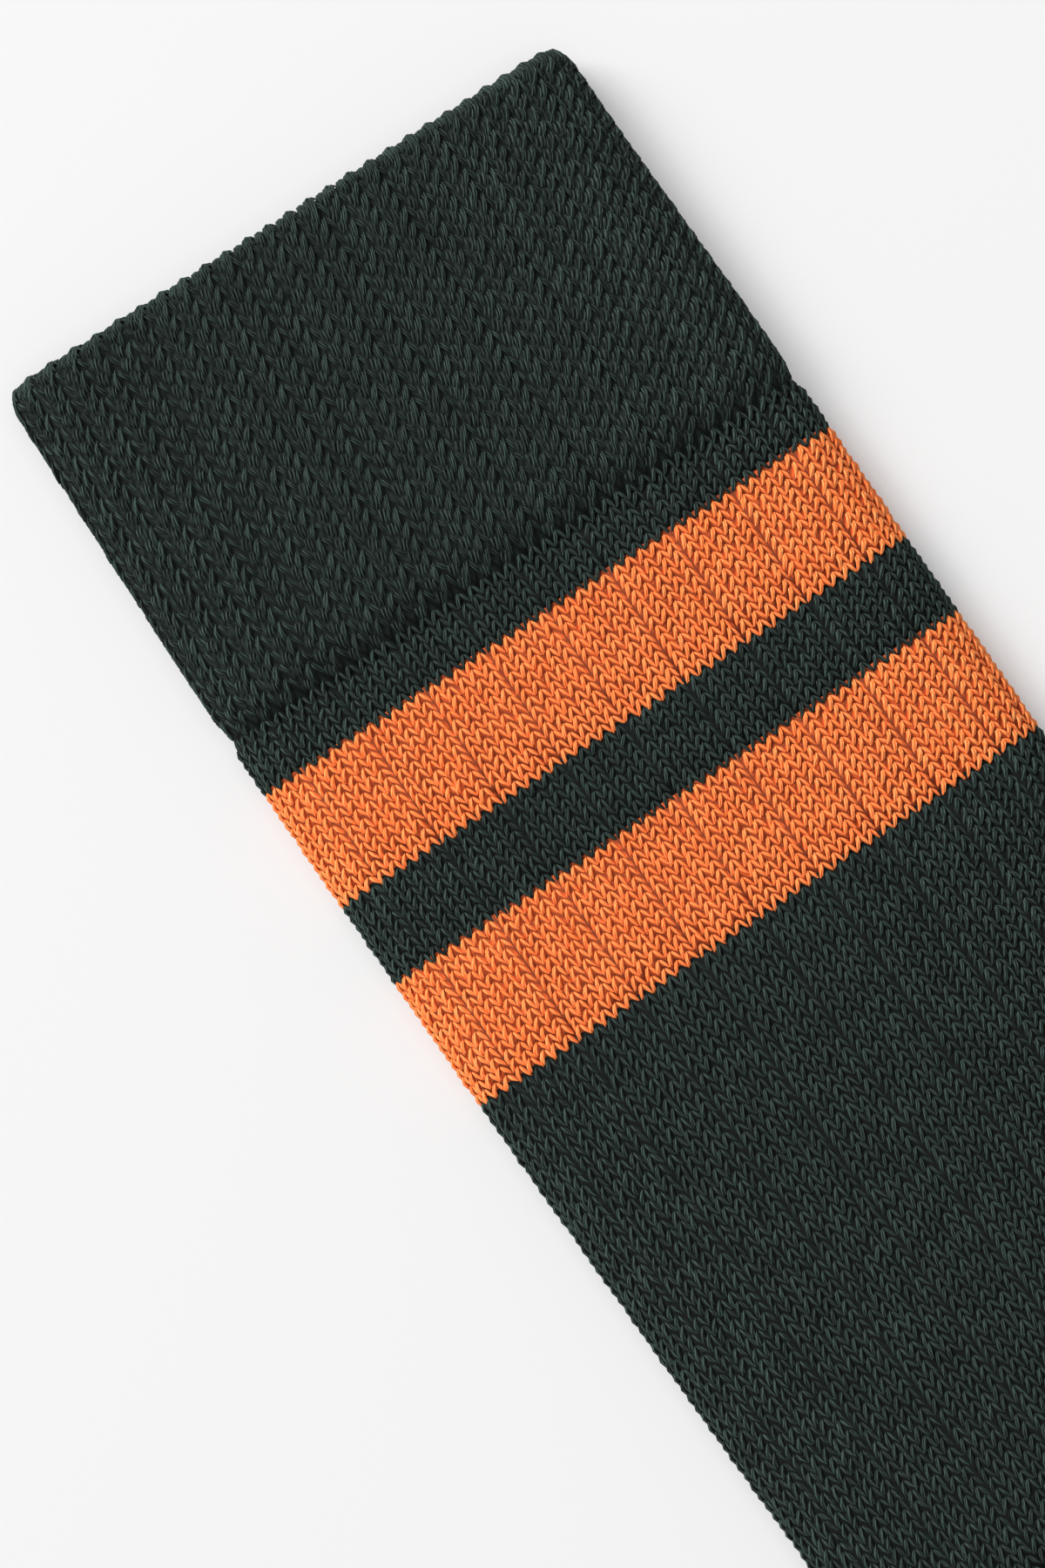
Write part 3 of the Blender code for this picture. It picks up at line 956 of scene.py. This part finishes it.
def wall_material(name, colour, groove_shade, rib_shade_line=RIB_SHADE_LINE):
    """Plain knit seen deep between the stitches, and on the inside and the underside. A darker
    colour, painted shade, fills the troughs between its stitches and the lines between ribs.
    """
    material, tree, shader = new_material(name)
    place = split_vector(tree, point_value(tree, "knit", "Vector"))
    wales = math_node(tree, "MULTIPLY", place["X"], WALES_PER_RIB)
    side = math_node(tree, "PINGPONG", wales, 0.5)
    slope = math_node(tree, "MULTIPLY_ADD", side, 1.8, place["Y"])
    wave = math_node(tree, "PINGPONG", slope, 0.5)
    rib = math_node(tree, "PINGPONG", place["X"], 0.5)
    # Painted shade: the darker colour fills the lines between ribs and the troughs between the wall's
    # stitches
    beside = math_node(tree, "GREATER_THAN", rib, rib_shade_line)
    double = math_node(tree, "MULTIPLY", wave, 2.0)
    share = math_node(tree, "MULTIPLY", double, beside)
    mix = tree.nodes.new("ShaderNodeMix")
    mix.data_type = "RGBA"
    mix.inputs[6].default_value = (*groove_shade, 1)
    mix.inputs[7].default_value = (*colour, 1)
    tree.links.new(share, mix.inputs["Factor"])
    tree.links.new(mix.outputs[2], shader.inputs["Base Color"])
    add_bump(tree, shader, wave, WALL_RELIEF)
    set_matt(shader, 0.9, 0.2)
    return material


def floor_material():
    """Pale matt floor with a glow of its own, so that it stays light and even."""
    material, _, shader = new_material("pale_floor")
    shader.inputs["Base Color"].default_value = (*FLOOR_GREY, 1)
    set_matt(shader, 0.9, 0.5)
    shader.inputs["Emission Color"].default_value = (1, 1, 1, 1)
    shader.inputs["Emission Strength"].default_value = FLOOR_GLOW
    return material


green = yarn_material("green_yarn", GREEN_DARK, GREEN_YARN, GREEN_FIBRE, 0.25)
cuff_green = yarn_material("cuff_yarn", GREEN_DARK, CUFF_YARN, GREEN_FIBRE, 0.25)
orange = yarn_material("orange_yarn", ORANGE_DARK, ORANGE_YARN, ORANGE_FIBRE, 0.15)
green_bed = wall_material("green_wall", GREEN_WALL_WITH_SHADE, GREEN_GROOVE_SHADE)
cuff_bed = wall_material("cuff_wall", CUFF_WALL_GREEN, GREEN_GROOVE_SHADE, NO_RIB_SHADE_LINE)
orange_bed = wall_material("orange_wall", ORANGE_WALL_WITH_SHADE, ORANGE_GROOVE_SHADE)


# The sock

def make_cuff():
    """The cuff's wall, its stitches and the loops over its mouth."""
    stretch = cuff_stretch()
    roll = (CUFF_BED + CUFF_WALL) / 2
    rows = np.linspace(roll / CUFF_COURSE, stretch.rows, CUFF_RINGS)
    wall = wall_piece(stretch, rows, ring_distances(), "cuff_knit", cuff_bed, mouth=True)
    bold = cuff_wales()
    recess = (bold[1:] + bold[:-1]) / 2
    pieces = [
        cuff_stitches(stretch, bold),
        cuff_sunken_stitches(stretch, recess),
        cuff_mouth_loops(stretch, bold, recess),
    ]
    declare_sheet(wall, GIRTH[-1], CUFF_LENGTH)


def cuff_stitches(stretch, bold):
    """Bold wales, from under the mouth's loops to the cuff's end."""
    rows = np.arange(1.1, stretch.rows - 1.0)
    laid = lay_rows(stretch, bold_stitch(), bold, rows, SEEDS["bold"], False, CUFF_LOOSE)
    return stitches_piece("cuff_stitches", [laid], "cuff", "cuff_knit", cuff_green)


def cuff_sunken_stitches(stretch, recess):
    """Stitches between the bold wales, and the first course of plain knit at the cuff's end."""
    rows = np.arange(0.6, stretch.rows - 0.5)
    sunken = lay_rows(stretch, sunken_stitch(), recess, rows, SEEDS["sunken"], False, CUFF_LOOSE)
    last_row = stretch.rows - (1 - FIRST_ROW) * STRIPE_COURSE / CUFF_COURSE
    template = plain_stitch(WALE, STRIPE_COURSE)
    plain = lay_rows(stretch, template, ribbed_wales(), np.array([last_row]), SEEDS["cuff_end"])
    return stitches_piece("cuff_sunken_stitches", [sunken, plain], "cuff", "cuff_knit", cuff_green)


def cuff_mouth_loops(stretch, bold, recess):
    """A loop over the mouth's fold at each bold wale, and a lesser one at each recess."""
    rows = np.array([MOUTH_ROW])
    parts = [
        lay_rows(stretch, mouth_loop(), bold, rows, SEEDS["mouth"], False),
        lay_rows(stretch, small_mouth_loop(), recess, rows, SEEDS["small_mouth"], False),
    ]
    return stitches_piece("cuff_mouth_loops", parts, "cuff", "cuff_knit", cuff_green)


def make_bands():
    """The green bands and orange stripes between the cuff and the shank."""
    top = LEG_LENGTH - CUFF_LENGTH
    bands = (
        ("leg_top_band", TOP_BAND_LENGTH, "green_knit", green, green_bed),
        ("stripe_upper", UPPER_STRIPE_LENGTH, "orange_knit", orange, orange_bed),
        ("band_between", MIDDLE_BAND_LENGTH, "green_knit", green, green_bed),
        ("stripe_lower", LOWER_STRIPE_LENGTH, "orange_knit", orange, orange_bed),
    )
    for number, (name, length, slot, yarn, bed) in enumerate(bands):
        make_stretch(band_stretch(name, top, length), slot, yarn, bed, SEEDS["bands"] + number)
        top -= length


def make_stretch(stretch, slot, yarn, bed, seed, rings=3, plies=2, side_wales=SIDE_WALES,
                 first_row=FIRST_ROW):
    """Wall and plain stitches of a stretch that runs right round."""
    count = max(FEWEST_RINGS, int(stretch.rows / ROWS_PER_RING))
    wall_rows = np.linspace(0, stretch.rows, count)
    wall = wall_piece(stretch, wall_rows, ring_distances(), slot, bed)
    wales = ribbed_wales(side_wales)
    rows = np.arange(round(stretch.rows)) + first_row
    template = plain_stitch(WALE, stretch.course, rings, plies)
    triangles = len(wales) * len(rows) * len(template[2])
    for number, (name, part) in enumerate(stitch_sets(stretch.name, wales, triangles)):
        part_seed = seed + SECOND_HALF_SEED * number
        laid = lay_rows(stretch, template, part, rows, part_seed, loose=LEG_LOOSE)
        stitches_piece(name, [laid], stretch.name, slot, yarn)
    declare_sheet(wall, GIRTH[-1], stretch.rows * stretch.course)


def stitch_sets(node, wales, triangles):
    """Names and wales of a node's pieces of stitches: two halves where one would be too heavy."""
    name = node + "_stitches"
    if triangles <= MOST_TRIANGLES:
        return [(name, wales)]
    half = len(wales) // 2
    return [(name + "_1", wales[:half]), (name + "_2", wales[half:])]


def make_heel():
    """Heel pocket: rows down from the leg and back along the foot, which meet at the gore."""
    wales = ribbed_wales()
    share = around(wales)[0]
    wales = wales[(share < -HEEL_START_SHARE) & (wales < FACE / 2)]
    template = plain_stitch(WALE, LEG_COURSE, 3, 1)
    far, row = grid(wales, np.arange(0.5, HEEL_ROWS))
    share = around(far)[0]
    clearance = GORE_CLEARANCE * LEG_COURSE
    above = leg_run(share, -row * LEG_COURSE) < -clearance
    beyond = foot_run(share, -row * LEG_COURSE) > clearance
    parts = [
        lay_stitches(heel_leg_stretch(), template, far[above], row[above], SEEDS["heel_leg"], False),
        lay_stitches(heel_foot_stretch(), template, far[beyond], -row[beyond], SEEDS["heel_foot"],
                     False),
    ]
    stitches = stitches_piece("heel_stitches", parts, "heel", "green_knit", green)
    heel_wall()


def heel_wall():
    """Shell of the heel pocket, turned from the leg's end to the foot's start."""
    def run_at(share, row):
        start = leg_run(share, -JOIN_GAP / 2)
        return start + (foot_run(share, -JOIN_GAP / 2) - start) * row

    stretch = Stretch("heel", 1.0, 1, run_at)
    upper = np.interp(-HEEL_START_SHARE, GIRTH_SHARES[:GIRTH_POINTS], GIRTH[:GIRTH_POINTS])
    under_shares = GIRTH_SHARES[GIRTH_POINTS:][::-1]
    lower = np.interp(-HEEL_START_SHARE, under_shares, GIRTH[GIRTH_POINTS:][::-1])
    distances = np.concatenate([np.linspace(lower, GIRTH[-1], HEEL_SIDE_POINTS),
                                np.linspace(0, upper, HEEL_SIDE_POINTS)[1:]])
    rows = np.linspace(0, 1, HEEL_RINGS)
    wall = wall_piece(stretch, rows, distances, "green_knit", green_bed, closed=False)
    share = around(distances)[0]
    length = foot_run(share, -JOIN_GAP / 2) - leg_run(share, -JOIN_GAP / 2)
    girth = upper + GIRTH[-1] - lower
    declare_sheet(wall, girth, float(length.max()), girth * float(length.mean()))


def make_toe():
    """Rounded toe, with its rows of plain stitches nearly to the tip."""
    stretch = ToeStretch()
    wall_rows = stretch.rows * np.array(TOE_RING_SHARES)
    wall = wall_piece(stretch, wall_rows, ring_distances(), "green_knit", green_bed)
    template = plain_stitch(WALE, LEG_COURSE, 2, 1)
    rows = np.arange(0.5, stretch.rows - 0.8)
    laid = lay_rows(stretch, template, ribbed_wales(FEW_SIDE_WALES), rows, SEEDS["toe"], False)
    stitches = stitches_piece("toe_stitches", [laid], "toe", "green_knit", green)
    area = GIRTH[-1] * TOE_LENGTH * TOE_AREA_SHARE
    declare_sheet(wall, GIRTH[-1], TOE_LENGTH, area)


# Studio and camera

def make_floor():
    """Plain floor just under the sock."""
    size = FLOOR_HALF
    mesh = bpy.data.meshes.new("floor")
    corners = [(-size, -size, 0), (size, -size, 0), (size, size, 0), (-size, size, 0)]
    mesh.from_pydata(corners, [], [(0, 1, 2, 3)])
    mesh.materials.append(floor_material())
    floor = bpy.data.objects.new("floor", mesh)
    bpy.context.scene.collection.objects.link(floor)
    floor.location.z = -FLOOR_DROP


def area_light(name, location, energy, size):
    """Soft square light that faces the sock."""
    data = bpy.data.lights.new(name, "AREA")
    data.energy = energy
    data.size = size
    light = bpy.data.objects.new(name, data)
    light.location = location
    bpy.context.scene.collection.objects.link(light)
    direction = -light.location
    light.rotation_euler = direction.to_track_quat("-Z", "Y").to_euler()


def make_studio():
    """White surroundings, a key light from the picture's upper left, and a light straight above."""
    world = bpy.data.worlds.new("studio")
    bpy.context.scene.world = world
    world.use_nodes = True
    background = world.node_tree.nodes["Background"]
    background.inputs["Color"].default_value = (1, 1, 1, 1)
    background.inputs["Strength"].default_value = WORLD_LIGHT
    right = (math.cos(CAMERA_TURN), math.sin(CAMERA_TURN))
    up = (-math.sin(CAMERA_TURN), math.cos(CAMERA_TURN))
    key_x = KEY_RIGHT * right[0] + KEY_UP * up[0]
    key_y = KEY_RIGHT * right[1] + KEY_UP * up[1]
    area_light("key", (key_x, key_y, KEY_HEIGHT), KEY_POWER, KEY_SIZE)
    area_light("top", (0, 0, TOP_HEIGHT), TOP_POWER, TOP_SIZE)
    bpy.context.scene.view_settings.view_transform = "Standard"


def make_camera():
    """Camera straight above, turned as in the photograph."""
    data = bpy.data.cameras.new("camera")
    data.lens = LENS
    data.sensor_width = SENSOR
    camera = bpy.data.objects.new("camera", data)
    distance = FRAME_HEIGHT * LENS / SENSOR
    camera.location = (PICTURE_MIDDLE[0] + SHIFT[0], PICTURE_MIDDLE[1] + SHIFT[1],
                       cad_high.z + distance)
    camera.rotation_euler = (0, 0, CAMERA_TURN)
    bpy.context.scene.collection.objects.link(camera)
    bpy.context.scene.camera = camera


make_cuff()
make_bands()
make_stretch(shank_stretch(), "green_knit", green, green_bed, SEEDS["leg"])
make_heel()
make_stretch(foot_stretch(), "green_knit", green, green_bed, SEEDS["foot"], rings=2, plies=1,
             side_wales=FEW_SIDE_WALES, first_row=0.5)
make_toe()
make_floor()
make_studio()
make_camera()
